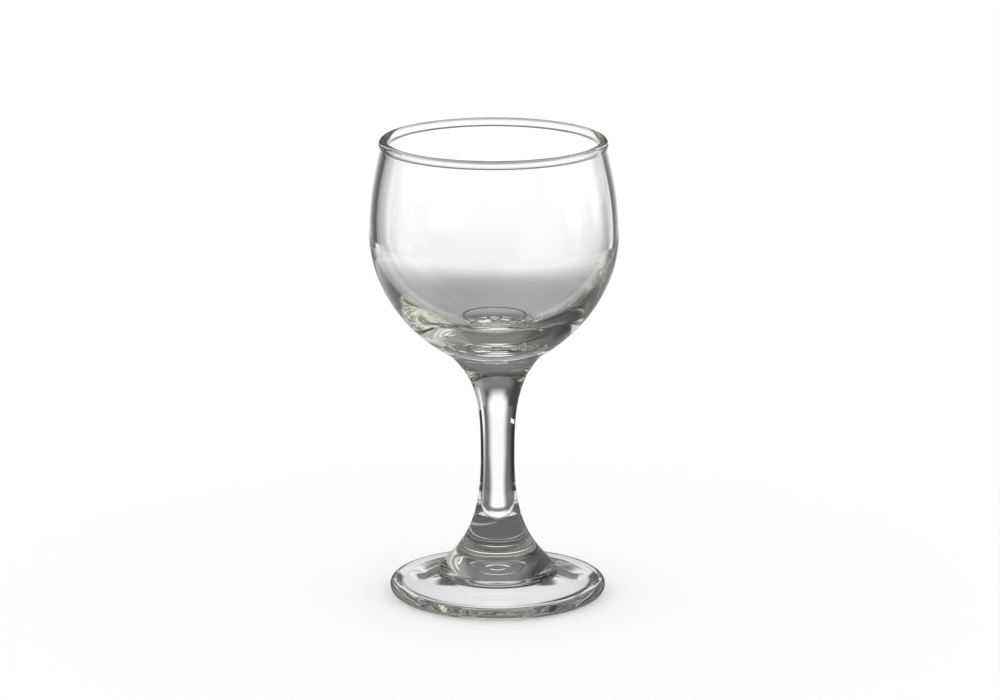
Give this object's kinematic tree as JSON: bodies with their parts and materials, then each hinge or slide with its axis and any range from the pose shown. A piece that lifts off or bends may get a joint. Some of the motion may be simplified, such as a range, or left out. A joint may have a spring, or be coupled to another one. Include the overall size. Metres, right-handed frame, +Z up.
{
  "type": "port glass",
  "caption": "Small stemmed port glass: a round blown bowl with a beaded rim on a waisted solid stem and a round foot, for holding a short pour of wine upright on a table.",
  "frame": {"origin": "centre of the ring that the foot stands on, at table height", "axes": "+Z up along the axis that the glass is turned about; X and Y are level, and every side is the same"},
  "size_m": [0.0588, 0.0588, 0.11],
  "materials": {
    "bowl_glass": "clear blown glass, fire-polished",
    "stem_glass": "clear solid glass, polished",
    "foot_glass": "clear pressed glass, polished"
  },
  "bodies": {
    "root": {"bowl": "bowl_glass", "stem": "stem_glass", "foot": "foot_glass"}
  },
  "joints": []
}
